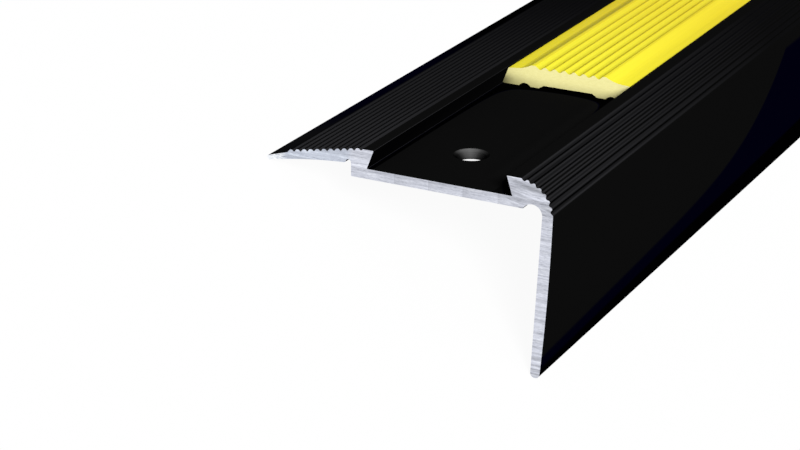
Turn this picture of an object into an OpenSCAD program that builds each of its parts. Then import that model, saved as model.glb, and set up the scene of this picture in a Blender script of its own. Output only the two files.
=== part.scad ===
// Stair nosing: one extruded angle with a dovetail channel, and the soft strip held in it.
// The section is drawn upright, u across the tread and v up, with u = 0, v = 0 at the wing-side
// corner of the channel floor, and is then turned so that both long edges rest on the floor.
// The origin is on that floor, in the middle of the piece.

/* [Stock] */
// length of the piece as it is sold
stock_length = 1000; // [400:50:2700]

/* [Channel] */
// width of the channel floor
channel_w = 27; // [25:0.5:30]
// height of the lips above the channel floor
channel_h = 3.4; // [3.2:0.1:4]
// thickness of the web under the channel
web_t = 1.8; // [1.5:0.1:2.2]
// overhang of the wing-side lip over the channel floor
wing_lip = 1.3; // [0.9:0.1:1.6]
// overhang of the nose-side lip over the channel floor
nose_lip = 1.05; // [0.8:0.05:1.4]
// thickness of the solid block beside the channel, at its floor
block_w = 3; // [2.6:0.1:3.4]

/* [Wing] */
// reach of the wing from the block's outer face to its tip
wing_w = 16.45; // [15.9:0.05:18]
// fall of the wing's top away from the lip, in degrees
wing_fall = 10.7; // [10:0.1:11.4]
// number of anti-slip ridges on the wing
ridge_count = 11; // [6:1:11]
// distance between two ridges
ridge_pitch = 1.3; // [1.1:0.05:1.3]
// depth of the grooves between the ridges
ridge_depth = 0.46; // [0.3:0.02:0.5]
// width of the flat left on each ridge
ridge_flat = 0.44; // [0.2:0.02:0.6]
// width of the smooth lip between the last ridge and the channel
wing_plateau = 2; // [1.7:0.1:2.3]
// radius of the rounded tip of the wing
wing_tip_r = 0.4; // [0.3:0.05:0.5]
// height of the wing tip's underside above the web's underside
tip_lift = 0.25; // [0:0.05:0.5]
// height of the wing's underside where it meets the block, above the channel floor
wing_root_lift = 0.45; // [0.3:0.05:0.6]
// radius of the relief groove beside the block
notch_r = 0.52; // [0.4:0.02:0.6]

/* [Nose] */
// distance from the channel floor's corner to the riser face
nose_w = 7.35; // [7.2:0.05:8.5]
// radius of the rounded nose
nose_r = 5.9; // [5.4:0.1:6]
// number of grooves around the nose
groove_count = 7; // [4:1:8]
// depth of the nose grooves
groove_depth = 0.38; // [0.3:0.02:0.5]
// part of each pitch that stays as a flat crest
crest_share = 0.22; // [0.1:0.02:0.4]
// part of each pitch that is the groove's flat floor
floor_share = 0.22; // [0.1:0.02:0.3]
// radius of the relief under the nose
relief_r = 1.85; // [1.6:0.05:2]
// depth of the relief's roof below the channel floor
relief_roof = 0.8; // [0.7:0.05:1]

/* [Riser] */
// height of the riser from the lip's top to its lower end
riser_h = 35.1; // [28:0.1:45]
// thickness of the riser at its top
riser_t = 1.9; // [1.7:0.05:2.1]
// lean of the riser's inner face towards the stair, in degrees
riser_lean = 2.7; // [0:0.1:3]
// radius of the rounded lower end
riser_tip_r = 0.85; // [0.7:0.05:0.9]

/* [Screw holes] */
// number of screw holes along the channel
hole_count = 5; // [3:1:9]
// distance of the end holes from the cut ends
hole_inset = 14.8; // [12:0.1:30]
// distance of the hole line from the wing-side corner of the floor
hole_offset = 12.4; // [10:0.1:15]
// radius of the through hole
hole_r = 2.7; // [2.2:0.05:2.9]
// radius of the countersink at the channel floor
sink_r = 3.15; // [3.1:0.05:3.5]

/* [Insert] */
// distance from the cut end to the start of the strip, in the piece shown
insert_start = 53.5; // [25:0.5:200]
// play between the strip and the wing-side wall, against which it is pressed
wing_gap = 0.05; // [0.05:0.05:0.2]
// play between the strip and the nose-side wall
nose_gap = 0.3; // [0.1:0.05:0.4]
// depth of the strip's side edges below the lips
edge_drop = 0.3; // [0.2:0.05:0.5]
// height of the band's two outer crests above the lips
crest_rise = 0.8; // [0.6:0.05:1.1]
// drop of the ribs between them below those two crests
rib_drop = 0.1; // [0:0.02:0.16]
// depth of the grooves between the ribs, below the outer crests
rib_depth = 0.6; // [0.4:0.05:0.7]
// width of the flat crest of each rib
rib_crest_w = 0.4; // [0.24:0.04:0.6]
// width of the flat floor of each groove
rib_floor_w = 0.4; // [0.2:0.04:0.5]
// number of grooves between the two outer crests
rib_count = 7; // [5:1:7]
// distance between two grooves
rib_pitch = 1.96; // [1.8:0.02:2]
// reach of the smooth wing-side margin from the channel floor's corner
margin_w = 3.4; // [2.8:0.1:3.8]
// rise of the wing-side margin towards the ribs
margin_rise = 0.22; // [0.1:0.02:0.3]
// rise of the nose-side margin towards the ribs
nose_rise = 0.08; // [0.04:0.02:0.2]
// width of the smooth nose-side margin up to the channel's wall
nose_margin_w = 0.86; // [0.6:0.02:1.2]
// distance of the wing-side crest's start from the first groove's middle
lead_crest_w = 1.78; // [1.6:0.02:2]
// distance of the wing-side crest's end from the first groove's middle
lead_wall_w = 0.92; // [0.8:0.02:1.1]
// distance of the nose-side crest's end from the last groove's middle
end_crest_w = 1.44; // [1.2:0.04:1.8]
// height of the middle recess under the strip
recess_h = 0.6; // [0.4:0.05:0.8]
// width of the middle recess at the channel floor
recess_w = 11.75; // [10:0.25:13]
// distance of the round flutes under the strip from its middle
flute_offset = 8.75; // [8.6:0.05:9.2]
// radius of the round flutes
flute_r = 1.43; // [1.2:0.05:1.6]
// height of the round flutes
flute_h = 0.6; // [0.4:0.02:0.7]

/* [Hidden] */
$fn = 64;
// cutters run this far past the faces they open
past = 1;
// straight steps used for one curved face of the section
curve_steps = 12;
// size of the chamfers at the strip's two lower corners
foot_chamfer = 0.2;
nose_u = channel_w + nose_w;
nose_centre = [nose_u - nose_r, channel_h - nose_r];
groove_pitch = 87.5 / groove_count;
wing_tip = [-block_w - wing_w + wing_tip_r, -web_t + tip_lift + wing_tip_r];
riser_tip_v = channel_h - riser_h + riser_tip_r;
riser_top_v = nose_centre[1];
riser_tip = [riser_in(riser_tip_v) + riser_tip_r, riser_tip_v];
relief = [riser_in(-relief_roof - relief_r) - relief_r, -relief_roof - relief_r];
notch = [-block_w - notch_r, wing_root_lift + notch_r / 3];
last_ridge_u = wing_lip - wing_plateau - ridge_pitch * 0.8;
wing_root = [-block_w - 2.5 * notch_r, wing_root_lift];
// angle that brings the wing's tip and the riser's end to one level
rest_span = riser_tip - wing_tip;
rest_tilt = asin((riser_tip_r - wing_tip_r) / norm(rest_span)) - atan2(rest_span[1], rest_span[0]);
rest_low = wing_tip[0] * sin(rest_tilt) + wing_tip[1] * cos(rest_tilt) - wing_tip_r;
rest_left = wing_tip[0] * cos(rest_tilt) - wing_tip[1] * sin(rest_tilt) - wing_tip_r;
rest_right = riser_tip[0] * cos(rest_tilt) - riser_tip[1] * sin(rest_tilt) + riser_tip_r;
rest_shift = [-(rest_left + rest_right) / 2, -stock_length / 2, -rest_low];
hole_spacing = (stock_length - 2 * hole_inset) / (hole_count - 1);
insert_mid = (channel_w + wing_gap - nose_gap) / 2;
edge_v = channel_h - edge_drop;
crest_v = channel_h + crest_rise;
band_w = rib_count * rib_pitch;
first_valley_u = channel_w / 2 - band_w / 2 + rib_pitch * 0.53;
first_crest_u = first_valley_u - lead_crest_w;

function riser_in(v) = nose_u - riser_t + (v - riser_top_v) * tan(riser_lean);
function polar(r, a) = [r * cos(a), r * sin(a)];
// point at share t of a curve from a to c that heads for b at both ends
function bend(a, b, c, t) = a * (1 - t) * (1 - t) + b * 2 * t * (1 - t) + c * t * t;
function bend_points(a, b, c) = [for (i = [0 : curve_steps]) bend(a, b, c, i / curve_steps)];
function arc_points(centre, r, from, to) =
    [for (i = [0 : curve_steps]) centre + polar(r, from + (to - from) * i / curve_steps)];
// height of the line that the wing's crests follow
function wing_top(u) = channel_h - (last_ridge_u - u) * tan(wing_fall);
function ridge_u(k) = last_ridge_u - (ridge_count - 1 - k) * ridge_pitch;
function wing_wall_u(v) = wing_lip * v / channel_h;
function nose_wall_u(v) = channel_w - nose_lip * v / channel_h;

// one ridge: groove bottom, then both ends of the flat crest
function ridge(k) = [
    [ridge_u(k) - ridge_pitch / 2, wing_top(ridge_u(k) - ridge_pitch / 2) - ridge_depth],
    [ridge_u(k) - ridge_flat / 2, wing_top(ridge_u(k) - ridge_flat / 2)],
    [ridge_u(k) + ridge_flat / 2, wing_top(ridge_u(k) + ridge_flat / 2)]
];

// one groove of the nose: end of a crest, both ends of the floor, start of the next crest
function groove(k) = [
    nose_centre + polar(nose_r, 90 - (k + crest_share / 2) * groove_pitch),
    nose_centre + polar(nose_r - groove_depth, 90 - (k + 0.5 - floor_share / 2) * groove_pitch),
    nose_centre + polar(nose_r - groove_depth, 90 - (k + 0.5 + floor_share / 2) * groove_pitch),
    nose_centre + polar(nose_r, 90 - (k + 1 - crest_share / 2) * groove_pitch)
];

// both ends of the floor of one groove of the strip, and both ends of one rib's crest beside it
function rib_floor(k) = [for (side = [-1, 1])
    [first_valley_u + k * rib_pitch + side * rib_floor_w / 2, crest_v - rib_depth]];
function rib_crest(k) = [for (side = [-1, 1])
    [first_valley_u + (k + 0.5) * rib_pitch + side * rib_crest_w / 2, crest_v - rib_drop]];

// outline of the extrusion without its two relief grooves
module profile_outline() {
    riser_face = [nose_u, riser_top_v];
    riser_end = riser_tip + polar(riser_tip_r, -4);
    riser_back = [riser_in(relief[1]), relief[1]];
    tip_under = wing_tip + polar(wing_tip_r, -79);
    last_groove = last_ridge_u + ridge_pitch / 2;
    polygon(concat(
        arc_points(wing_tip, wing_tip_r, 281, 106),
        [for (k = [0 : ridge_count - 1]) each ridge(k)],
        [[last_groove, wing_top(last_groove) - ridge_depth]],
        [[wing_lip - wing_plateau, channel_h], [wing_lip, channel_h], [0, 0]],
        [[channel_w, 0], [channel_w - nose_lip, channel_h], [nose_centre[0], channel_h]],
        [for (k = [0 : groove_count - 1]) each groove(k)],
        bend_points(riser_face, [riser_face[0] - 0.3, riser_face[1] / 2 + riser_end[1] / 2], riser_end),
        arc_points(riser_tip, riser_tip_r, -4 - 176 / curve_steps, -180 - riser_lean),
        [riser_back, relief, [relief[0], -web_t], [-block_w, -web_t], [-block_w, notch[1]]],
        [[notch[0] - notch_r, notch[1]]],
        [for (i = [0 : curve_steps - 1])
            bend(wing_root, [(wing_root[0] + tip_under[0]) / 2, wing_root[1] - 0.45], tip_under,
                i / curve_steps)]
    ));
}

module profile_section() {
    difference() {
        profile_outline();
        translate(relief) circle(r = relief_r);
        translate(notch) circle(r = notch_r);
    }
}

// outline of the strip, with dovetail sides and the ribbed band between two smooth margins
module insert_outline() {
    left = [wing_wall_u(edge_v) + wing_gap, edge_v];
    right = [nose_wall_u(edge_v) - nose_gap, edge_v];
    ramp = [margin_w, edge_v + margin_rise];
    last_valley_u = first_valley_u + (rib_count - 1) * rib_pitch;
    band_end = last_valley_u + end_crest_w;
    lead_slope_w = first_crest_u - ramp[0];
    nose_slope_w = right[0] - nose_margin_w - band_end;
    lead_bend = [ramp[0] + lead_slope_w * 0.33, ramp[1] + margin_rise * 0.23];
    nose_bend = [band_end + nose_slope_w * 0.45, edge_v + nose_rise * 1.25];
    polygon(concat(
        [left],
        bend_points(ramp, lead_bend, [first_crest_u, crest_v]),
        [[first_valley_u - lead_wall_w, crest_v]],
        [for (k = [0 : rib_count - 2]) each concat(rib_floor(k), rib_crest(k))],
        rib_floor(rib_count - 1),
        [[last_valley_u + (rib_pitch - rib_crest_w) / 2, crest_v]],
        bend_points([band_end, crest_v], nose_bend, [right[0] - nose_margin_w, edge_v + nose_rise]),
        [right, [nose_wall_u(foot_chamfer) - nose_gap, foot_chamfer]],
        [[channel_w - nose_gap - foot_chamfer, 0]],
        [[insert_mid + recess_w / 2, 0], [insert_mid + recess_w / 2 - 1, recess_h]],
        [[insert_mid - recess_w / 2 + 1, recess_h], [insert_mid - recess_w / 2, 0]],
        [[wing_gap + foot_chamfer, 0], [wing_wall_u(foot_chamfer) + wing_gap, foot_chamfer]]
    ));
}

module insert_section() {
    difference() {
        insert_outline();
        for (side = [-1, 1])
            translate([insert_mid + side * flute_offset, flute_h - flute_r]) circle(r = flute_r);
    }
}

// turns the upright piece to the pose in which both long edges rest on the floor
module stored() {
    translate(rest_shift) rotate([0, -rest_tilt, 0]) children();
}

module extrude_section(from, to) {
    translate([0, to, 0]) rotate([90, 0, 0]) linear_extrude(height = to - from) children();
}

// countersunk hole, drawn along +Z with its mouth on the channel floor
module screw_hole() {
    sink_depth = sink_r - hole_r;
    translate([0, 0, -web_t - past]) cylinder(r = hole_r, h = web_t + 2 * past);
    translate([0, 0, -sink_depth]) cylinder(r1 = hole_r, r2 = sink_r, h = sink_depth);
    cylinder(r = sink_r, h = past);
}

module nosing_profile() {
    color("black") stored() difference() {
        extrude_section(0, stock_length) profile_section();
        for (i = [0 : hole_count - 1])
            translate([hole_offset, hole_inset + i * hole_spacing, 0]) screw_hole();
    }
}

module insert_strip() {
    color("yellow") stored() extrude_section(insert_start, stock_length) insert_section();
}

nosing_profile();
insert_strip();
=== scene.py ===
import math

import bmesh
import bpy
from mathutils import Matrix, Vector


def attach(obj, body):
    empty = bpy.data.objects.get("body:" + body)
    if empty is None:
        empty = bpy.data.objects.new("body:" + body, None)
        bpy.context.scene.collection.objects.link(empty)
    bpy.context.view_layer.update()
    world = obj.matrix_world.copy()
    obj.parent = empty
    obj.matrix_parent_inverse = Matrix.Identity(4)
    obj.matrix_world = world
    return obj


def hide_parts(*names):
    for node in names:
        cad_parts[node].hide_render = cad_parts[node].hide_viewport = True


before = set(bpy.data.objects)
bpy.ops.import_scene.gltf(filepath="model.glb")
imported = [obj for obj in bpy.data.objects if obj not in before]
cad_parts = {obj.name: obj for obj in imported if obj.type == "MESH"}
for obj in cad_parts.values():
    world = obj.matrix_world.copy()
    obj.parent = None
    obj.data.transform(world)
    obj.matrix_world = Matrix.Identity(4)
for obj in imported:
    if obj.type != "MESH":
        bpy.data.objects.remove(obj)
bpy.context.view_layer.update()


# The extruded profile: aluminium pressed through a die, finished black all over and sawn to length.
# It has a ridged wing, a dovetail channel between two lips, a grooved nose and a riser leg. Sizes
# are millimetres in the upright section, u across and v up from the channel floor's wing corner.
MM = 0.001
STOCK_LENGTH = 1000.0
CHANNEL_W, CHANNEL_H, WEB_T = 27.0, 3.4, 1.8
WING_LIP, NOSE_LIP, BLOCK_W = 1.3, 1.05, 3.0
WING_TIP, WING_TIP_R, WING_TIP_TURN = (-19.05, -1.15), 0.4, (281, 106)
WING_FALL, WING_ROOT, UNDER_BOW = math.radians(10.7), (-4.3, 0.45), 0.45
RIDGE_COUNT, RIDGE_PITCH, RIDGE_DEPTH, RIDGE_FLAT = 11, 1.3, 0.46, 0.44
LAST_RIDGE_U, WING_PLATEAU = -1.74, 2.0
NOTCH, NOTCH_R = (-3.52, 0.6233), 0.52
NOSE_U, NOSE_CENTRE, NOSE_R = 34.35, (28.45, -2.5), 5.9
GROOVE_COUNT, GROOVED_TURN, GROOVE_DEPTH, CREST_SHARE, FLOOR_SHARE = 7, 87.5, 0.38, 0.22, 0.22
RELIEF, RELIEF_R, RELIEF_TURN = (30.593, -2.65), 1.85, (0, 152.65)
RISER_LEAN, FACE_BOW = math.radians(2.7), 0.3
# the riser's tip, with the degrees at which its outer face ends and its round begins
RISER_TIP, RISER_TIP_R, FACE_END, ROUND_FROM = (31.963, -30.85), 0.85, -4, -16
# the die leaves every edge a little round
LIP_ROUND, ROOT_ROUND, RIDGE_ROUND, VALLEY_ROUND, GROOVE_ROUND = 0.08, 0.04, 0.3, 0.16, 0.27
# stored pose: both long edges rest on the floor
REST_TILT = math.radians(30.6449)
REST_SHIFT = (-13.9353, 11.0995)


def on_arc(centre, radius, start, end, steps=14):
    """Points of an arc in the section, angles in degrees, with no further rounding."""
    turns = [math.radians(start + (end - start) * i / steps) for i in range(steps + 1)]
    return [(centre[0] + radius * math.cos(a), centre[1] + radius * math.sin(a), 0) for a in turns]


def on_bend(a, b, c, steps=14):
    """Points of a shallow curve from a to c that heads for b at both ends."""
    shares = [i / steps for i in range(steps + 1)]
    return [tuple((1 - t) ** 2 * p + 2 * t * (1 - t) * q + t * t * r
                  for p, q, r in zip(a, b, c)) + (0,) for t in shares]


def rounded(outline, steps=5):
    """Rounds each corner of a closed outline by the radius that is its third number."""
    out = []
    for i, (u, v, radius) in enumerate(outline):
        corner = Vector((u, v))
        if radius <= 0:
            out.append(corner)
            continue
        before = Vector(outline[i - 1][:2]) - corner
        after = Vector(outline[(i + 1) % len(outline)][:2]) - corner
        half = before.angle(after) / 2
        reach = radius / math.tan(half)
        middle = corner + (before.normalized() + after.normalized()).normalized() * (radius / math.sin(half))
        first, last = corner + before.normalized() * reach, corner + after.normalized() * reach
        for k in range(steps + 1):
            spoke = (first - middle).lerp(last - middle, k / steps)
            out.append(middle + spoke.normalized() * radius)
    return out


def wing_top(u):
    """How high the wing's ridges reach, which falls away towards its tip."""
    return CHANNEL_H - (LAST_RIDGE_U - u) * math.tan(WING_FALL)


profile_outline = on_arc(WING_TIP, WING_TIP_R, *WING_TIP_TURN)
tip_under = profile_outline[0][:2]
for k in range(RIDGE_COUNT):
    ridge_u = LAST_RIDGE_U - (RIDGE_COUNT - 1 - k) * RIDGE_PITCH
    for u, drop, radius in ((ridge_u - RIDGE_PITCH / 2, RIDGE_DEPTH, VALLEY_ROUND),
                            (ridge_u - RIDGE_FLAT / 2, 0, RIDGE_ROUND),
                            (ridge_u + RIDGE_FLAT / 2, 0, RIDGE_ROUND)):
        profile_outline.append((u, wing_top(u) - drop, radius))
last_groove_u = LAST_RIDGE_U + RIDGE_PITCH / 2
profile_outline += [
    (last_groove_u, wing_top(last_groove_u) - RIDGE_DEPTH, VALLEY_ROUND),
    (WING_LIP - WING_PLATEAU, CHANNEL_H, LIP_ROUND),
    (WING_LIP, CHANNEL_H, LIP_ROUND), (0, 0, ROOT_ROUND),
    (CHANNEL_W, 0, ROOT_ROUND), (CHANNEL_W - NOSE_LIP, CHANNEL_H, LIP_ROUND),
    (NOSE_CENTRE[0], CHANNEL_H, 0)]
for k in range(GROOVE_COUNT):
    for share, sink in ((k + CREST_SHARE / 2, 0), (k + 0.5 - FLOOR_SHARE / 2, GROOVE_DEPTH),
                        (k + 0.5 + FLOOR_SHARE / 2, GROOVE_DEPTH), (k + 1 - CREST_SHARE / 2, 0)):
        turn = math.radians(90 - share * GROOVED_TURN / GROOVE_COUNT)
        profile_outline.append((NOSE_CENTRE[0] + (NOSE_R - sink) * math.cos(turn),
                                NOSE_CENTRE[1] + (NOSE_R - sink) * math.sin(turn), GROOVE_ROUND))
riser_face = (NOSE_U, NOSE_CENTRE[1])
riser_end = on_arc(RISER_TIP, RISER_TIP_R, FACE_END, FACE_END, steps=1)[0][:2]
profile_outline += on_bend(riser_face, (riser_face[0] - FACE_BOW, (riser_face[1] + riser_end[1]) / 2),
                           riser_end, steps=24)
profile_outline += on_arc(RISER_TIP, RISER_TIP_R, ROUND_FROM, -180 - math.degrees(RISER_LEAN))
profile_outline += on_arc(RELIEF, RELIEF_R, *RELIEF_TURN, steps=20)
profile_outline += [(-BLOCK_W, -WEB_T, LIP_ROUND)]
profile_outline += on_arc(NOTCH, NOTCH_R, 0, 180, steps=12)
profile_outline += on_bend(WING_ROOT, ((WING_ROOT[0] + tip_under[0]) / 2, WING_ROOT[1] - UNDER_BOW),
                           tip_under)[:-1]


def section_face(name, outline, rim_width, apart=1e-4):
    """The section as a flat mesh in the stored pose, with a rim along its edge marked by an attribute.

    A point that lies less than apart millimetres from the one before it is left out.
    """
    mesh = bpy.data.meshes.new(name)
    bm = bmesh.new()
    rim = bm.verts.layers.float.new("sawn_rim")
    corners = []
    for point in rounded(outline):
        if corners and (Vector(corners[-1]) - point).length < apart:
            continue
        corners.append(tuple(point))
    for u, v in corners:
        x = (u * math.cos(REST_TILT) - v * math.sin(REST_TILT) + REST_SHIFT[0]) * MM
        z = (u * math.sin(REST_TILT) + v * math.cos(REST_TILT) + REST_SHIFT[1]) * MM
        bm.verts.new((x, 0, z))[rim] = 1.0
    face = bm.faces.new(bm.verts)
    face.normal_update()
    if face.normal.y < 0:
        face.normal_flip()
    bmesh.ops.inset_region(bm, faces=[face], thickness=rim_width * MM, use_even_offset=False)
    for inner in face.verts:
        inner[rim] = 0.0
    bm.to_mesh(mesh)
    bm.free()
    return mesh


def give(tree, socket, value):
    """Gives an input a plain value, or links it to an output or to a node's first output."""
    if isinstance(value, bpy.types.Node):
        value = value.outputs[0]
    if isinstance(value, bpy.types.NodeSocket):
        tree.links.new(value, socket)
    else:
        socket.default_value = value


def feed(tree, node, **inputs):
    """Gives a node its named inputs. An input that takes several gets a list."""
    for label, value in inputs.items():
        for one in value if isinstance(value, list) else [value]:
            give(tree, node.inputs[label.replace("_", " ")], one)
    return node


def wired(tree, kind, settings=(), **inputs):
    """A new node with its settings and its named inputs."""
    node = tree.nodes.new(kind)
    for label, value in dict(settings).items():
        setattr(node, label, value)
    return feed(tree, node, **inputs)


def calc(tree, operation, *values):
    """The result of one operation on values or plain numbers."""
    done = wired(tree, "ShaderNodeMath", {"operation": operation})
    for socket, value in zip(done.inputs, values):
        give(tree, socket, value)
    return done.outputs[0]


def times(tree, a, b):
    return calc(tree, "MULTIPLY", a, b)


def group_of(name, kind, given, made, made_kind="Float"):
    """A node group and its output node. Inputs are given by name, first value and kind of socket."""
    tree = bpy.data.node_groups.new(name, kind)
    for label, value, *sort in given:
        socket = tree.interface.new_socket(label, in_out="INPUT",
                                           socket_type="NodeSocket" + (sort[0] if sort else "Float"))
        if value is not None:
            socket.default_value = value
    for label in made:
        tree.interface.new_socket(label, in_out="OUTPUT", socket_type="NodeSocket" + made_kind)
    return tree, tree.nodes.new("NodeGroupOutput")


def sawn_length_tree():
    """Geometry Nodes: draws a section out to length, caps it with sawn ends and drills a row of holes."""
    tree, made = group_of("sawn_length", "GeometryNodeTree", (
        ("Section", None, "Geometry"), ("Start", 0.0), ("Length", 1.0),
        ("Drawn finish", None, "Material"), ("Sawn finish", None, "Material"),
        ("Edge angle", math.radians(33)), ("Hole count", 0, "Int"), ("First hole", None, "Vector"),
        ("Hole spacing", 0.2), ("Hole radius", 0.002), ("Sink radius", 0.003), ("Web", 0.0018),
        ("Hole lean", 0.0), ("Drilled finish", None, "Material")), ("Geometry",), "Geometry")
    tree.is_modifier = True
    given = tree.nodes.new("NodeGroupInput").outputs

    placed = wired(tree, "GeometryNodeTransform", Geometry=given["Section"],
                   Translation=wired(tree, "ShaderNodeCombineXYZ", Y=given["Start"]))
    drawn = wired(tree, "GeometryNodeExtrudeMesh", Mesh=placed, Individual=False, Offset_Scale=1.0,
                  Offset=wired(tree, "ShaderNodeCombineXYZ", Y=given["Length"]))
    skin = wired(tree, "GeometryNodeSetMaterial", Geometry=drawn, Material=given["Drawn finish"])
    far_end = wired(tree, "GeometryNodeSetMaterial", Geometry=skin, Selection=drawn.outputs["Top"],
                    Material=given["Sawn finish"])
    near_end = wired(tree, "GeometryNodeSetMaterial", Material=given["Sawn finish"],
                     Geometry=wired(tree, "GeometryNodeFlipFaces", Mesh=placed))
    both = wired(tree, "GeometryNodeJoinGeometry", Geometry=[near_end, far_end])
    closed = wired(tree, "GeometryNodeMergeByDistance", Geometry=both, Distance=1e-7)

    # one drill: a straight hole, three times as deep as the web, with a shallow cone at its mouth
    # that runs as far above the floor as the sink goes below it
    facets, through = 96, 3.0
    sink = calc(tree, "SUBTRACT", given["Sink radius"], given["Hole radius"])
    drill = wired(tree, "GeometryNodeMeshCylinder", Vertices=facets, Radius=given["Hole radius"],
                  Depth=times(tree, given["Web"], through))
    cone = wired(tree, "GeometryNodeMeshCone", Vertices=facets, Radius_Bottom=given["Hole radius"],
                 Radius_Top=calc(tree, "ADD", given["Sink radius"], sink), Depth=times(tree, sink, 2.0))
    lower = wired(tree, "ShaderNodeCombineXYZ", Z=times(tree, sink, -1.0))
    cone_low = wired(tree, "GeometryNodeTransform", Geometry=cone, Translation=lower)
    cutter = wired(tree, "GeometryNodeMeshBoolean", {"operation": "UNION", "solver": "EXACT"},
                   Mesh_2=[drill, cone_low])
    bright = wired(tree, "GeometryNodeSetMaterial", Geometry=cutter, Material=given["Drilled finish"])

    row = wired(tree, "GeometryNodeMeshLine", Count=given["Hole count"],
                Start_Location=given["First hole"],
                Offset=wired(tree, "ShaderNodeCombineXYZ", Y=given["Hole spacing"]))
    lean = wired(tree, "FunctionNodeAxisAngleToRotation", Axis=(0, -1, 0), Angle=given["Hole lean"])
    drills = wired(tree, "GeometryNodeInstanceOnPoints", Points=row, Instance=bright, Rotation=lean)
    drilled = wired(tree, "GeometryNodeMeshBoolean", {"operation": "DIFFERENCE", "solver": "EXACT"},
                    Mesh_1=closed, Mesh_2=wired(tree, "GeometryNodeRealizeInstances", Geometry=drills))
    some = wired(tree, "FunctionNodeCompare", {"data_type": "INT", "operation": "GREATER_THAN"},
                 A=given["Hole count"])
    pick = wired(tree, "GeometryNodeSwitch", {"input_type": "GEOMETRY"}, Switch=some,
                 **{"False": closed, "True": drilled})

    smooth = wired(tree, "GeometryNodeSetShadeSmooth", Geometry=pick)
    angle = wired(tree, "GeometryNodeInputMeshEdgeAngle").outputs["Unsigned Angle"]
    steep = wired(tree, "FunctionNodeCompare", {"data_type": "FLOAT", "operation": "GREATER_THAN"},
                  A=angle, B=given["Edge angle"])
    crisp = wired(tree, "GeometryNodeSetShadeSmooth", {"domain": "EDGE"}, Geometry=smooth,
                  Selection=steep, Shade_Smooth=False)
    feed(tree, made, Geometry=crisp)
    return tree


def sawn_piece(name, section, tree, settings):
    """One finished piece: the section's own mesh, drawn out by the tree and turned into a plain mesh."""
    blank = bpy.data.objects.new(name + "_blank", section)
    bpy.context.scene.collection.objects.link(blank)
    drawing = blank.modifiers.new("drawing", "NODES")
    drawing.node_group = tree
    sockets = {s.name: s.identifier for s in tree.interface.items_tree
               if s.item_type == "SOCKET" and s.in_out == "INPUT"}
    for label, value in settings.items():
        drawing[sockets[label]] = value
    even = blank.modifiers.new("even_shading", "WEIGHTED_NORMAL")
    even.keep_sharp = True
    even.weight = 100
    depsgraph = bpy.context.evaluated_depsgraph_get()
    mesh = bpy.data.meshes.new_from_object(blank.evaluated_get(depsgraph))
    mesh.name = name
    bpy.data.objects.remove(blank)
    piece = bpy.data.objects.new(name, mesh)
    bpy.context.scene.collection.objects.link(piece)
    return piece


def placed_group(tree, group, **values):
    """The outputs of a group that is placed in a material or in another group."""
    return wired(tree, "ShaderNodeGroup", {"node_tree": group}, **values).outputs


def blended(tree, share, first, second):
    """A value between two others, by a share from 0 to 1."""
    return wired(tree, "ShaderNodeMix", Factor=share, A=first, B=second).outputs["Result"]


def section_place_group():
    """Shader group: where on the upright section one is, in millimetres, and how the face points."""
    tree, made = group_of("section_place", "ShaderNodeTree", (), (
        "Across", "Along", "Up", "Facing", "Around"))
    place = tree.nodes.new("ShaderNodeTexCoord").outputs
    shift_x, shift_z = REST_SHIFT
    upright = wired(tree, "ShaderNodeMapping", Vector=place["Object"], Rotation=(0, REST_TILT, 0),
                    Scale=(1 / MM, 1 / MM, 1 / MM), Location=(
                        -shift_x * math.cos(REST_TILT) - shift_z * math.sin(REST_TILT), STOCK_LENGTH / 2,
                        shift_x * math.sin(REST_TILT) - shift_z * math.cos(REST_TILT)))
    parts = wired(tree, "ShaderNodeSeparateXYZ", Vector=upright).outputs
    feed(tree, made, Across=parts["X"], Along=parts["Y"], Up=parts["Z"])
    turned = wired(tree, "ShaderNodeMapping", {"vector_type": "VECTOR"}, Vector=place["Normal"],
                   Rotation=(0, REST_TILT, 0))
    ways = wired(tree, "ShaderNodeSeparateXYZ", Vector=turned).outputs
    # both in quarter turns towards the nose: from straight up, and from straight at the cut end
    for start, label in ((ways["Z"], "Facing"), (times(tree, ways["Y"], -1.0), "Around")):
        quarters = calc(tree, "DIVIDE", calc(tree, "ARCTAN2", ways["X"], start), math.pi / 2)
        feed(tree, made, **{label: quarters})
    return tree


def saw_marks_group():
    """Shader group: the marks that a saw leaves across a cut end, each from 0 to 1."""
    tree, made = group_of("saw_marks", "ShaderNodeTree", (
        ("Stripe width", 0.5), ("Stripe length", 6.0), ("Grain", 0.3), ("Slant", 0.0),
        ("Seam pitch", 6.4), ("Seam start", 5.2), ("Seed", 0.0)), ("Tone", "Fine tone", "Seam"))
    given, place = tree.nodes.new("NodeGroupInput").outputs, placed_group(tree, section_place)
    slanted = calc(tree, "MULTIPLY_ADD", place["Across"], given["Slant"], place["Up"])
    # stripes of full size, then the fine ones as shares of their width and length
    tones = []
    for wide_by, long_by in ((1.0, 1.0), (0.4, 0.12)):
        width = times(tree, given["Stripe width"], wide_by)
        length = times(tree, given["Stripe length"], long_by)
        stretched = wired(tree, "ShaderNodeCombineXYZ", Y=given["Seed"],
                          X=calc(tree, "DIVIDE", place["Across"], length),
                          Z=calc(tree, "DIVIDE", slanted, width))
        tones.append(wired(tree, "ShaderNodeTexNoise", Vector=stretched, Scale=1.0, Detail=2.0,
                           Roughness=0.55).outputs["Fac"])
    # where the blade was fed on: 1 just before each seam, 0 just after it
    since = calc(tree, "SUBTRACT", place["Across"], given["Seam start"])
    part, sharpness = calc(tree, "FRACT", calc(tree, "DIVIDE", since, given["Seam pitch"])), 0.3
    feed(tree, made, Tone=blended(tree, given["Grain"], *tones), Fine_tone=tones[1],
         Seam=calc(tree, "POWER", part, sharpness))
    return tree


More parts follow.
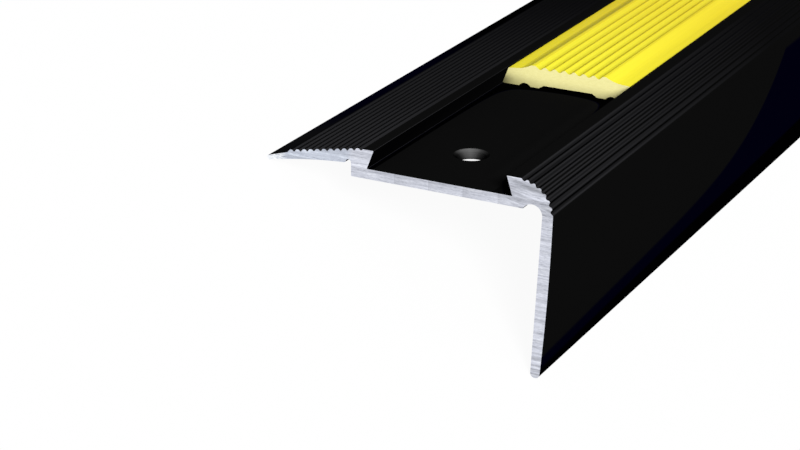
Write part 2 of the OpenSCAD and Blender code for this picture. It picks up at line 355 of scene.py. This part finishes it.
def drawn_lines_group():
    """Shader group: the faint lengthwise lines that a die leaves, from 0 to 1."""
    tree, made = group_of("drawn_lines", "ShaderNodeTree", (("Line width", 0.25), ("Seed", 0.0)),
                          ("Lines",))
    given, place = tree.nodes.new("NodeGroupInput").outputs, placed_group(tree, section_place)
    drawn_out = 0.012  # how slowly the lines change along, to the millimetre
    stretched = wired(tree, "ShaderNodeCombineXYZ",
                      X=calc(tree, "DIVIDE", place["Across"], given["Line width"]),
                      Y=calc(tree, "MULTIPLY_ADD", place["Along"], drawn_out, given["Seed"]),
                      Z=calc(tree, "DIVIDE", place["Up"], given["Line width"]))
    noise = wired(tree, "ShaderNodeTexNoise", Vector=stretched, Scale=1.0, Detail=3.0)
    feed(tree, made, Lines=noise.outputs["Fac"])
    return tree


section_place = section_place_group()
saw_marks, drawn_lines = saw_marks_group(), drawn_lines_group()


def finish_of(name, **constants):
    """A new material, its node tree and its Principled shader, with what is the same all over it."""
    material = bpy.data.materials.new(name)
    material.use_nodes = True
    shader = material.node_tree.nodes["Principled BSDF"]
    return material, material.node_tree, feed(material.node_tree, shader, **constants)


def eased(tree, value, span, results=(0.0, 1.0), kind="SMOOTHSTEP"):
    """Turns a value that runs over a span into one that eases from one result to the other."""
    ends = dict(zip(("From Min", "From Max", "To Min", "To Max"), (*span, *results)))
    return wired(tree, "ShaderNodeMapRange", {"interpolation_type": kind}, Value=value,
                 **ends).outputs["Result"]


def spread(tree, value, span=(0.0, 1.0), results=(0.0, 1.0)):
    """Turns a value that runs over a span into one that runs evenly between the results."""
    return eased(tree, value, span, results, "LINEAR")


def within(tree, place, *spans):
    """1 where each named measure of the place is past its span, easing to 0 before it."""
    masks = [eased(tree, place[label], span) for label, span in spans]
    inside = masks[0]
    for mask in masks[1:]:
        inside = times(tree, inside, mask)
    return inside


def ramp_of(tree, value, stops):
    """A colour by a value, from pairs of position and linear colour or grey."""
    ramp = wired(tree, "ShaderNodeValToRGB", Fac=value)
    while len(ramp.color_ramp.elements) < len(stops):
        ramp.color_ramp.elements.new(0.5)
    for element, (position, tone) in zip(ramp.color_ramp.elements, stops):
        colour = tone if isinstance(tone, tuple) else (tone, tone, tone)
        element.position, element.color = position, (*colour, 1)
    return ramp.outputs["Color"]


def by_turn(tree, quarters, turns, tones):
    """A colour by degrees over a range of turns, from the quarter turns that a face makes."""
    low, high = turns
    return ramp_of(tree, spread(tree, quarters, (low / 90, high / 90)),
                   [((angle - low) / (high - low), tone) for angle, tone in tones])


def tinted(tree, share, first, second):
    """A colour between two others, by a share from 0 to 1."""
    first, second = ((*end, 1) if isinstance(end, tuple) else end for end in (first, second))
    return wired(tree, "ShaderNodeMix", {"data_type": "RGBA"}, Factor=share, A=first,
                 B=second).outputs["Result"]


def dimmed(tree, colour, share):
    """A colour times a value or another colour."""
    return wired(tree, "ShaderNodeMix", {"data_type": "RGBA", "blend_type": "MULTIPLY"}, Factor=1.0,
                 A=colour, B=share).outputs["Result"]


def bumped(tree, height, strength, depth):
    """The normals that a fine relief gives a surface, its depth in metres."""
    return wired(tree, "ShaderNodeBump", Height=height, Strength=strength, Distance=depth)


# black finish: dead matt, with painted light in its tones: a painted highlight on flanks that turn to the
# nose and painted shade on faces turned away, by the way a face points in degrees from straight up, fading
# away from the near sawn end.
FACING_TURNS = (-45, 135)
BLACK_TONES = ((-40, (0.0004, 0.0004, 0.0006)), (-12, (0.0032, 0.0032, 0.0035)),
               (-4, (0.0040, 0.0040, 0.0042)), (0, (0.0045, 0.0045, 0.0045)),
               (5, (0.0058, 0.0058, 0.0062)), (14, (0.0115, 0.0115, 0.0124)),
               (30, (0.0182, 0.0182, 0.0198)), (48, (0.0172, 0.0172, 0.0186)),
               (65, (0.0115, 0.0115, 0.0124)), (79, (0.0072, 0.0072, 0.0078)),
               (87, (0.0035, 0.0035, 0.0035)), (90, (0.0032, 0.0032, 0.0032)),
               (94, (0.0032, 0.0032, 0.0032)), (100, (0.0014, 0.0014, 0.0016)),
               (120, (0.0005, 0.0005, 0.0007)))
# what they fade to: lighter on faces that get less light, so that it looks one even black
FAR_TONES = ((-40, (0.0118, 0.0118, 0.0145)), (-12, (0.0052, 0.0052, 0.0066)),
             (0, (0.0041, 0.0041, 0.0041)), (14, (0.0037, 0.0037, 0.0040)),
             (30, (0.0033, 0.0033, 0.0036)), (60, (0.0030, 0.0030, 0.0032)),
             (90, (0.0031, 0.0031, 0.0031)))
# strength of the painted highlight, the near tones, by millimetres along as it falls off
NOSE_FADE = ((0, 1.0), (15, 0.97), (30, 0.84), (60, 0.45), (90, 0.17), (108, 0.0))
WING_FADE = ((0, 1.0), (8, 0.95), (30, 0.60), (60, 0.42), (90, 0.08), (100, 0.0))
FADE_REACH, WING_SPAN = 120.0, (1.0, 0.0)  # millimetres along, and across
LINE_SPAN, LINE_LEFT = (0.35, 0.65), (0.88, 1.06)  # lines that count, share of the near tones left
BLACK_MATT, BLACK_SCORE = (0.48, 0.62), (0.15, 0.00002)  # roughness; strength and depth of the lines
# The channel floor gets a painted shadow in its corners beside lips and strip. Walls are given by place,
# side and how far the painted shadow reaches from both wall and strip, in square millimetres.
FLOOR_SPANS = (("Across", (0.05, 0.35)), ("Across", (28.0, 27.5)), ("Up", (0.3, 0.1)),
               ("Up", (-0.3, -0.1)))
STRIP_CUT, CORNERS, CORNER_SOFT = 52.9, ((0.9, 1.0, 6.5), (22.8, -1.0, 5.0)), 1.0
OPEN_END, OPEN_SPAN = 0.5, (25.2, 25.6)  # how the nose-side corner gets lighter towards the end
LIP_SHADE, LIP_FROM, LIP_LIFT = (18.5, 22.5), (4.0, 9.0), (1.0, 1.7)  # paler where the lip shades it
# the wing's smooth tip, painted shade far along and a painted highlight near the end: millimetres across,
# then along
TIP_EDGE, TIP_NAVY, TIP_BLACK = (-15.2, -15.7), (10.0, 30.0), (50.0, 85.0)
TIP_NEAR, TIP_LIFT = (28.0, 8.0), (1.0, 1.9)
# painted shade on the riser's foot: black below one line and still navy below a higher one, which climbs far
# away
RISER_SPANS = (("Across", (31.0, 32.0)), ("Up", (-2.2, -2.8)))
SOLE_LINE, SOLE_RISE, FOOT_LINE, FOOT_RISE, FOOT_TOP = -29.75, 0.028, -27.7, 0.047, -5.6
FOOT_CURVE, FOOT_REACH, FOOT_BEND, FOOT_SOFT = 19.4, 120.0, 7.0, (0.5, -0.5)
# painted shade in the outer grooves of the nose: millimetres from its centre, across and up
GROOVE_IN, UPPER_GROOVES, LOWER_GROOVES, DEEP_LEFT = (5.8, 5.6), (31.2, 30.9), (-0.4, -0.9), 0.5
# painted shade comes in two halves: navy where there is one, black where there are both, as shares left
HALF, NAVY_LEFT, BLACK_LEFT = (0.0, 0.5), (0.10, 0.08, 1.05), 0.08
black_finish, tree, shader = finish_of("black_finish", Specular_IOR_Level=0.0)
lines = placed_group(tree, drawn_lines, Line_width=0.22, Seed=3.0)["Lines"]
place = placed_group(tree, section_place)
away = spread(tree, place["Along"], (0.0, FADE_REACH))
fades = [ramp_of(tree, away, [(along / FADE_REACH, near) for along, near in stops])
         for stops in (NOSE_FADE, WING_FADE)]
fade = blended(tree, eased(tree, place["Across"], WING_SPAN), *fades)
# painted highlight and shade by facing, fading along to the even far tones
tone = tinted(tree, times(tree, fade, spread(tree, lines, LINE_SPAN, LINE_LEFT)),
              by_turn(tree, place["Facing"], FACING_TURNS, FAR_TONES),
              by_turn(tree, place["Facing"], FACING_TURNS, BLACK_TONES))

# painted shadow in the floor's corners beside the lips and the strip
on_floor = within(tree, place, *FLOOR_SPANS)
off_strip = calc(tree, "SUBTRACT", STRIP_CUT, place["Along"])
corners = []
for wall_u, side, reach in CORNERS:
    off_wall = times(tree, calc(tree, "SUBTRACT", place["Across"], wall_u), side)
    corners.append(eased(tree, times(tree, off_wall, off_strip),
                         (reach + CORNER_SOFT, reach - CORNER_SOFT)))
from_end = calc(tree, "ADD", place["Across"], times(tree, place["Along"], OPEN_END))
corners[1] = times(tree, corners[1], eased(tree, from_end, OPEN_SPAN))
corner_shadow = times(tree, on_floor, calc(tree, "MAXIMUM", *corners))
under_lip = times(tree, on_floor, within(tree, place, ("Across", LIP_SHADE), ("Along", LIP_FROM)))

# painted shade on the wing's tip, navy then black far along, and a painted highlight near the cut end
on_tip = eased(tree, place["Across"], TIP_EDGE)
tip_shade = times(tree, on_tip, calc(tree, "ADD", *(
    eased(tree, place["Along"], span, HALF) for span in (TIP_NAVY, TIP_BLACK))))
near_tip_highlight = times(tree, on_tip, eased(tree, place["Along"], TIP_NEAR))

# the lines of the painted shade on the riser's foot
far = calc(tree, "POWER", times(tree, place["Along"], 1 / FOOT_REACH), FOOT_BEND)
foot_line = calc(tree, "MULTIPLY_ADD", far, FOOT_CURVE,
                 calc(tree, "MULTIPLY_ADD", place["Along"], FOOT_RISE, FOOT_LINE))
foot_line = calc(tree, "MINIMUM", foot_line, FOOT_TOP)
sole_line = calc(tree, "MULTIPLY_ADD", place["Along"], SOLE_RISE, SOLE_LINE)
below = [eased(tree, calc(tree, "SUBTRACT", place["Up"], line), FOOT_SOFT, HALF)
         for line in (foot_line, sole_line)]
foot_shade = times(tree, within(tree, place, *RISER_SPANS), calc(tree, "ADD", *below))

# painted shade in the nose's outer grooves, fading along with the highlight
off_centre = [calc(tree, "SUBTRACT", place[label], middle)
              for label, middle in zip(("Across", "Up"), NOSE_CENTRE)]
nose_reach = calc(tree, "SQRT", calc(tree, "ADD", *(times(tree, off, off) for off in off_centre)))
nose_groove_shade = times(tree, eased(tree, nose_reach, GROOVE_IN), calc(
    tree, "MAXIMUM", eased(tree, place["Across"], UPPER_GROOVES), eased(tree, place["Up"], LOWER_GROOVES)))

# all the painted shade put together, then the painted lifts, on the black tones
dark = calc(tree, "MAXIMUM", calc(tree, "MAXIMUM", corner_shadow, foot_shade), tip_shade)
painted_shade_zones = ramp_of(tree, dark, [(0.0, 1), (0.5, NAVY_LEFT), (1.0, BLACK_LEFT)])
left = spread(tree, times(tree, nose_groove_shade, fade), results=(1.0, DEEP_LEFT))
for share, results in ((under_lip, LIP_LIFT), (near_tip_highlight, TIP_LIFT)):
    left = times(tree, left, spread(tree, share, results=results))
feed(tree, shader, Base_Color=dimmed(tree, dimmed(tree, tone, painted_shade_zones), left),
     Roughness=spread(tree, lines, results=BLACK_MATT), Normal=bumped(tree, lines, *BLACK_SCORE))

# sawn end: bare silver, striped by the saw, with a bright burr along its edge that is partly a
# painted edge highlight, a whitish wing tip and a duller, chattered foot of the riser
SAWN_TONES = ((0.30, (0.395, 0.41, 0.47)), (0.44, (0.61, 0.63, 0.71)), (0.56, (0.695, 0.715, 0.80)),
              (0.70, (0.90, 0.925, 0.99)))
BURR_AND_GLINT, BURR_AND_GLINT_SHARE, SEAM_DULL = (0.84, 0.87, 0.92), 0.4, 0.76
SEAMS_FROM, SEAMS_TO = (1.5, 3.0), (29.5, 28.5)  # millimetres across
FOOT_SPAN, FOOT_SHARE = (-26.0, -29.0), (0.45, 1.0)  # millimetres up, strength of the dull bands
# bands a millimetre, where a band begins and is full, and the share of light left in it
CHATTER, BAND_SPAN, BAND_DULL = 1.3, (0.35, 0.62), 0.62
# millimetres across, marks that count and the tip's colour; then the share left over all the wing
TIP_SPAN, TIP_MARKS, TIP_BRIGHT = (-15.4, -17.2), (0.3, 0.6), (0.95, 0.97, 0.99)
WING_SIDE, WING_BLUE = (-2.5, -4.0), (0.886, 0.92, 0.945)
# slanted streaks on the nose: where they are, marks that count, share of light left
NOSE_SPANS = (("Across", (25.5, 26.5)), ("Up", (-4.0, -2.0)))
STREAK_SPAN, NOSE_STREAKS = (0.38, 0.62), (0.58, 1.06)
SAWN_GLOSS, SAWN_FURROWS = (0.34, 0.5), (0.25, 0.00003)  # roughness; strength and depth
sawn_silver, tree, shader = finish_of("sawn_silver", Specular_IOR_Level=0.5, Metallic=1.0)
marks = placed_group(tree, saw_marks, Stripe_width=0.32, Stripe_length=5.5, Grain=0.45, Seed=1.7)
broad = placed_group(tree, saw_marks, Stripe_width=0.8, Stripe_length=9.0, Grain=0.1, Slant=0.2, Seed=3.3)
place = placed_group(tree, section_place)
seamed = blended(tree, within(tree, place, ("Across", SEAMS_FROM), ("Across", SEAMS_TO)), 1.0,
                 spread(tree, marks["Seam"], results=(SEAM_DULL, 1.0)))
bands = wired(tree, "ShaderNodeTexNoise", {"noise_dimensions": "1D"}, Scale=1.0,
              W=times(tree, place["Up"], CHATTER)).outputs["Fac"]
dulled = blended(tree, eased(tree, place["Up"], FOOT_SPAN, FOOT_SHARE), 1.0,
                 eased(tree, bands, BAND_SPAN, (BAND_DULL, 1.0)))
streaked = blended(tree, within(tree, place, *NOSE_SPANS), 1.0,
                   spread(tree, broad["Tone"], STREAK_SPAN, NOSE_STREAKS))
blued = tinted(tree, eased(tree, place["Across"], WING_SIDE), (1, 1, 1), WING_BLUE)
toned = dimmed(tree, dimmed(tree, ramp_of(tree, marks["Tone"], SAWN_TONES), blued),
               times(tree, streaked, times(tree, seamed, dulled)))
whitish = times(tree, eased(tree, place["Across"], TIP_SPAN), eased(tree, marks["Fine tone"], TIP_MARKS))
# the rim's bright burr, partly a painted edge highlight
edge = wired(tree, "ShaderNodeAttribute", {"attribute_name": "sawn_rim"}).outputs["Fac"]
burred_and_glinting = tinted(tree, times(tree, edge, BURR_AND_GLINT_SHARE), tinted(tree, whitish, toned, TIP_BRIGHT), BURR_AND_GLINT)
feed(tree, shader, Base_Color=burred_and_glinting, Roughness=spread(tree, marks["Fine tone"], results=SAWN_GLOSS),
     Normal=bumped(tree, marks["Tone"], *SAWN_FURROWS))

# drilled wall: bare too, with turned rings, and painted light: bright only where it faces the cut end and
# the nose, by degrees from straight at the cut end towards the nose, with painted shade deeper down
DRILLED_TURNS = (-90, 120)
DRILLED = ((-90, 0.002), (-53, 0.004), (-28, 0.014), (-10, 0.029), (0, 0.051), (15, 0.073), (30, 0.09),
           (60, 0.062), (75, 0.034), (95, 0.008), (120, 0.002))
BOTTOM_SPAN, BOTTOM_LEFT = (-0.2, -1.9), 0.4  # millimetres up, share of light left at the bottom
BRIGHTEST, BOTTOM_NARROW = 0.25, 1.9  # quarter turns; how much narrower the light is at the bottom
RING_SPAN, RING_LEFT = (0.3, 0.7), (0.85, 1.15)
drilled_grey, tree, shader = finish_of("drilled_grey", Roughness=0.5, Specular_IOR_Level=0.0)
marks = placed_group(tree, saw_marks, Stripe_width=0.25, Stripe_length=9.0, Grain=0.3, Seed=8.0)
place = placed_group(tree, section_place)
# painted light by the way the wall faces, narrowing and with painted shade deeper in the hole
off_brightest = times(tree, calc(tree, "SUBTRACT", place["Around"], BRIGHTEST),
                      spread(tree, place["Up"], BOTTOM_SPAN, (1.0, BOTTOM_NARROW)))
wall = by_turn(tree, calc(tree, "ADD", off_brightest, BRIGHTEST), DRILLED_TURNS, DRILLED)
rings = spread(tree, marks["Tone"], RING_SPAN, RING_LEFT)
deep = spread(tree, place["Up"], BOTTOM_SPAN, (1.0, BOTTOM_LEFT))
feed(tree, shader, Base_Color=dimmed(tree, wall, times(tree, rings, deep)))

HOLE_COUNT, HOLE_INSET, HOLE_OFFSET, HOLE_R, SINK_R = 5, 14.8, 12.4, 2.7, 3.15
first_hole = ((HOLE_OFFSET * math.cos(REST_TILT) + REST_SHIFT[0]) * MM,
              (HOLE_INSET - STOCK_LENGTH / 2) * MM,
              (HOLE_OFFSET * math.sin(REST_TILT) + REST_SHIFT[1]) * MM)
sawn_length = sawn_length_tree()
profile_section = section_face("profile_section", profile_outline, rim_width=0.12)
profile = sawn_piece("nosing_extrusion", profile_section, sawn_length, {
    "Start": -STOCK_LENGTH / 2 * MM, "Length": STOCK_LENGTH * MM,
    "Drawn finish": black_finish, "Sawn finish": sawn_silver, "Drilled finish": drilled_grey,
    "Hole count": HOLE_COUNT, "First hole": first_hole,
    "Hole spacing": (STOCK_LENGTH - 2 * HOLE_INSET) / (HOLE_COUNT - 1) * MM,
    "Hole radius": HOLE_R * MM, "Sink radius": SINK_R * MM, "Web": WEB_T * MM, "Hole lean": REST_TILT})
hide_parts("nosing_profile")
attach(profile, "root")


# The strip: soft yellow plastic, extruded to its own dovetail section and pushed in between the
# lips, where it is cut back from the profile's end. Seven grooves give grip. The cut end shows
# the paler, dull body of the plastic.
STRIP_START, WING_GAP, NOSE_GAP, EDGE_DROP, CREST_RISE, FOOT = 53.5, 0.05, 0.3, 0.3, 0.8, 0.2
VALLEY_COUNT, RIB_PITCH, RIB_DEPTH, RIB_DROP, FIRST_VALLEY_U = 7, 1.96, 0.6, 0.1, 7.6788
RIB_CREST_W, RIB_FLOOR_W, LEAD_WALL_W, END_CREST_W = 0.4, 0.4, 0.92, 1.44
MARGIN_W, MARGIN_RISE, LEAD_CREST_W, NOSE_MARGIN_W, NOSE_RISE = 3.4, 0.22, 1.78, 0.86, 0.08
RECESS_H, RECESS_W, RECESS_SLOPE, FLUTE_OFFSET, FLUTE_R, FLUTE_H = 0.6, 11.75, 1.0, 8.75, 1.43, 0.6
RIB_ROUND, OUTER_CREST_ROUND, SLOPE_ROUND, END_ROUND = 0.42, 0.3, 1.2, 0.8
EDGE_ROUND, RECESS_ROUND = 0.12, 0.1
# where the two slopes beside the ribs head for, as shares of their width and rise
LEAD_BEND, NOSE_BEND = (0.33, 0.23), (0.45, 1.25)
edge_v, crest_v = CHANNEL_H - EDGE_DROP, CHANNEL_H + CREST_RISE
strip_mid = (CHANNEL_W + WING_GAP - NOSE_GAP) / 2
wing_side = [(WING_LIP * v / CHANNEL_H + WING_GAP, v) for v in (FOOT, edge_v)]
nose_side = [(CHANNEL_W - NOSE_LIP * v / CHANNEL_H - NOSE_GAP, v) for v in (FOOT, edge_v)]
last_valley_u = FIRST_VALLEY_U + (VALLEY_COUNT - 1) * RIB_PITCH
band_end, first_crest_u = last_valley_u + END_CREST_W, FIRST_VALLEY_U - LEAD_CREST_W
lead_slope_w, nose_slope_w = first_crest_u - MARGIN_W, nose_side[1][0] - NOSE_MARGIN_W - band_end


def flute(middle):
    """The arc of one round flute under the strip, from its nose side to its wing side."""
    open_half = math.degrees(math.acos((FLUTE_R - FLUTE_H) / FLUTE_R))
    return on_arc((middle, FLUTE_H - FLUTE_R), FLUTE_R, 90 - open_half, 90 + open_half, steps=10)


strip_outline = [(*wing_side[1], EDGE_ROUND)]
strip_outline += on_bend(
    (MARGIN_W, edge_v + MARGIN_RISE),
    (MARGIN_W + lead_slope_w * LEAD_BEND[0], edge_v + MARGIN_RISE + MARGIN_RISE * LEAD_BEND[1]),
    (first_crest_u, crest_v), steps=12)[:-2]
strip_outline += [(first_crest_u, crest_v, SLOPE_ROUND),
                  (FIRST_VALLEY_U - LEAD_WALL_W, crest_v, OUTER_CREST_ROUND)]
for k in range(VALLEY_COUNT):
    valley_u, crest_u = FIRST_VALLEY_U + k * RIB_PITCH, FIRST_VALLEY_U + (k + 0.5) * RIB_PITCH
    strip_outline += [(valley_u - RIB_FLOOR_W / 2, crest_v - RIB_DEPTH, RIB_ROUND),
                      (valley_u + RIB_FLOOR_W / 2, crest_v - RIB_DEPTH, RIB_ROUND)]
    if k < VALLEY_COUNT - 1:
        strip_outline += [(crest_u - RIB_CREST_W / 2, crest_v - RIB_DROP, RIB_ROUND),
                          (crest_u + RIB_CREST_W / 2, crest_v - RIB_DROP, RIB_ROUND)]
strip_outline += [(last_valley_u + (RIB_PITCH - RIB_CREST_W) / 2, crest_v, OUTER_CREST_ROUND)]
strip_outline += [(band_end, crest_v, END_ROUND)]
strip_outline += on_bend(
    (band_end, crest_v),
    (band_end + nose_slope_w * NOSE_BEND[0], edge_v + NOSE_RISE * NOSE_BEND[1]),
    (band_end + nose_slope_w, edge_v + NOSE_RISE))[1:]
strip_outline += [(*nose_side[1], EDGE_ROUND), (*nose_side[0], 0), (CHANNEL_W - NOSE_GAP - FOOT, 0, 0)]
strip_outline += flute(strip_mid + FLUTE_OFFSET)
strip_outline += [(strip_mid + RECESS_W / 2, 0, RECESS_ROUND),
                  (strip_mid + RECESS_W / 2 - RECESS_SLOPE, RECESS_H, RECESS_ROUND),
                  (strip_mid - RECESS_W / 2 + RECESS_SLOPE, RECESS_H, RECESS_ROUND),
                  (strip_mid - RECESS_W / 2, 0, RECESS_ROUND)]
strip_outline += flute(strip_mid - FLUTE_OFFSET)
strip_outline += [(WING_GAP + FOOT, 0, 0), (*wing_side[0], 0)]

# painted light and shade: the colour deepens on slopes that turn to the wing and pales on those that turn to
# the nose
YELLOWS = ((-40, (0.68, 0.60, 0.016)), (-25, (0.72, 0.635, 0.018)), (-8, (0.90, 0.785, 0.035)),
           (-3, (0.94, 0.825, 0.036)), (4, (0.94, 0.835, 0.036)), (20, (0.90, 0.81, 0.040)),
           (40, (0.72, 0.675, 0.037)), (60, (0.72, 0.675, 0.037)))
# painted shade: the yellow darkens far along
AWAY_SPAN, AWAY_LEFT = (56.0, 104.0), (0.90, 0.82, 0.84)  # millimetres along, share of the colour left
# painted shade in the grooves: millimetres across and up, with the share left near and far
GROOVE_SPANS = (("Across", (6.9, 7.3)), ("Across", (20.4, 20.0)), ("Up", (3.9, 3.62)))
GROOVE_LEFT = (0.78, 0.9)
GRAIN_SPAN, GRAIN_LEFT = (0.3, 0.6), (0.95, 1.0)
YELLOW_SATIN, YELLOW_SKIN = (0.42, 0.58), (0.12, 0.00003)  # roughness; strength and depth of the grain
yellow_plastic, tree, shader = finish_of("yellow_plastic", Specular_IOR_Level=0.01)
lines = placed_group(tree, drawn_lines, Line_width=0.45, Seed=11.0)["Lines"]
place = placed_group(tree, section_place)
# the painted falloff of the yellow along the strip
distance = spread(tree, place["Along"], AWAY_SPAN)
away = tinted(tree, distance, (1, 1, 1), AWAY_LEFT)
# painted shade in the grooves, lighter far along
painted_groove_shade = blended(tree, within(tree, place, *GROOVE_SPANS), 1.0,
                  spread(tree, distance, results=GROOVE_LEFT))
streaks = spread(tree, lines, GRAIN_SPAN, GRAIN_LEFT)
# painted light and shade by facing, darkened far along
yellow = dimmed(tree, by_turn(tree, place["Facing"], FACING_TURNS, YELLOWS), away)
feed(tree, shader, Base_Color=dimmed(tree, yellow, times(tree, streaks, painted_groove_shade)),
     Roughness=spread(tree, lines, results=YELLOW_SATIN), Normal=bumped(tree, lines, *YELLOW_SKIN))

# cut end: dull cream, torn by the blade, shaded low down and towards both of its sides
CUT_CREAM = ((0.28, (0.72, 0.664, 0.276)), (0.5, (0.804, 0.748, 0.327)), (0.72, (0.86, 0.81, 0.393)))
LOW_SPAN, LOW_SHADE = (-1.5, 2.5), 0.42  # millimetres up, share of light left at the foot
TOP_SPAN, TOP_SHARE = (0.7, 2.6), (1.0, 0.25)  # millimetres up, strength of the end's shade
NOSE_END, NOSE_END_LEFT = (22.5, 25.5), 0.88  # millimetres across, share of light left
END_SHADES = ((0.0, 0.15), (1.2, 0.43), (2.5, 0.70), (4.8, 0.88), (8.0, 0.98))  # by millimetres across
CUT_TEARS = (0.3, 0.00004)  # strength and depth
cut_plastic, tree, shader = finish_of("cut_plastic", Roughness=0.8, Specular_IOR_Level=0.1)
marks = placed_group(tree, saw_marks, Stripe_width=0.3, Stripe_length=0.8, Grain=0.6, Seed=5.0)
place = placed_group(tree, section_place)
reach = END_SHADES[-1][0]
end = ramp_of(tree, spread(tree, place["Across"], (0.0, reach)),
              [(across / reach, share) for across, share in END_SHADES])
ended = blended(tree, eased(tree, place["Up"], TOP_SPAN, TOP_SHARE), 1.0, end)
low = times(tree, eased(tree, place["Up"], LOW_SPAN, (LOW_SHADE, 1.0)),
            eased(tree, place["Across"], NOSE_END, (1.0, NOSE_END_LEFT)))
feed(tree, shader, Normal=bumped(tree, marks["Fine tone"], *CUT_TEARS),
     Base_Color=dimmed(tree, ramp_of(tree, marks["Tone"], CUT_CREAM), times(tree, ended, low)))

strip_section = section_face("strip_section", strip_outline, rim_width=0.1)
strip = sawn_piece("ribbed_strip", strip_section, sawn_length, {
    "Start": (STRIP_START - STOCK_LENGTH / 2) * MM, "Length": (STOCK_LENGTH - STRIP_START) * MM,
    "Drawn finish": yellow_plastic, "Sawn finish": cut_plastic, "Edge angle": math.radians(40)})
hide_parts("insert_strip")
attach(strip, "root")


# Floor, light and camera: a white floor under even studio light, one broad soft lamp from the
# nose side and in front, and a long lens at the photograph's viewing angle.
def white_to_the_eye(tree):
    """1 for rays that come from the camera, a glossy surface or clear glass."""
    path = tree.nodes.new("ShaderNodeLightPath").outputs
    glossy_or_glass = calc(tree, "MAXIMUM", path["Is Glossy Ray"], path["Is Transmission Ray"])
    return calc(tree, "MAXIMUM", path["Is Camera Ray"], glossy_or_glass)


FLOOR_HALF, FLOOR_PALE, FLOOR_SEEN, SHADOW_SHARE = 6.0, 0.5, 0.76, 0.05
floor_mesh = bpy.data.meshes.new("floor")
floor_mesh.from_pydata([(x * FLOOR_HALF, y * FLOOR_HALF, 0) for x, y in (
    (-1, -1), (1, -1), (1, 1), (-1, 1))], [], [(0, 1, 2, 3)])
floor = bpy.data.objects.new("floor", floor_mesh)
bpy.context.scene.collection.objects.link(floor)
white_floor, tree, shader = finish_of("white_floor", Roughness=0.9, Specular_IOR_Level=0.0)
seen = white_to_the_eye(tree)
feed(tree, shader, Base_Color=spread(tree, seen, results=(FLOOR_PALE, FLOOR_SEEN)))
lit = wired(tree, "ShaderNodeEmission", Strength=1.0)
mixed = wired(tree, "ShaderNodeMixShader", Fac=times(tree, seen, 1 - SHADOW_SHARE))
give(tree, mixed.inputs[1], shader)
give(tree, mixed.inputs[2], lit)
feed(tree, tree.nodes["Material Output"], Surface=mixed)
floor_mesh.materials.append(white_floor)

ROOM_LIGHT, LAMP_LIGHT, LAMP_SPREAD = 0.22, 4.83, math.radians(24)
LAMP_FROM = (0.66, -0.70, 0.48)  # across the section, along the stock, up from the section
world = bpy.data.worlds.new("studio")
bpy.context.scene.world = world
world.use_nodes = True
tree = world.node_tree
level = spread(tree, white_to_the_eye(tree), results=(ROOM_LIGHT, 1.0))
feed(tree, tree.nodes["Background"], Color=(1, 1, 1, 1), Strength=level)

lamp = bpy.data.lights.new("broad_lamp", "SUN")
lamp.energy, lamp.angle = LAMP_LIGHT, LAMP_SPREAD
lamp_object = bpy.data.objects.new("broad_lamp", lamp)
bpy.context.scene.collection.objects.link(lamp_object)
across, along, up = LAMP_FROM
lamp_way = Vector((across * math.cos(REST_TILT) - up * math.sin(REST_TILT), along,
                   across * math.sin(REST_TILT) + up * math.cos(REST_TILT)))
lamp_object.rotation_mode = "QUATERNION"
lamp_object.rotation_quaternion = lamp_way.to_track_quat("Z", "Y")

CAMERA_AT, CAMERA_TURN = (0.06615, -0.818128, 0.213222), (53.0003, -27.1438, 31.387)
camera = bpy.data.cameras.new("camera")
camera.sensor_width, camera.lens = 36.0, 102.9937
camera.clip_start, camera.clip_end = 0.01, 50.0
camera_object = bpy.data.objects.new("camera", camera)
camera_object.location = CAMERA_AT
camera_object.rotation_euler = tuple(math.radians(a) for a in CAMERA_TURN)
bpy.context.scene.collection.objects.link(camera_object)
bpy.context.scene.camera = camera_object
bpy.context.scene.view_settings.view_transform = "Standard"
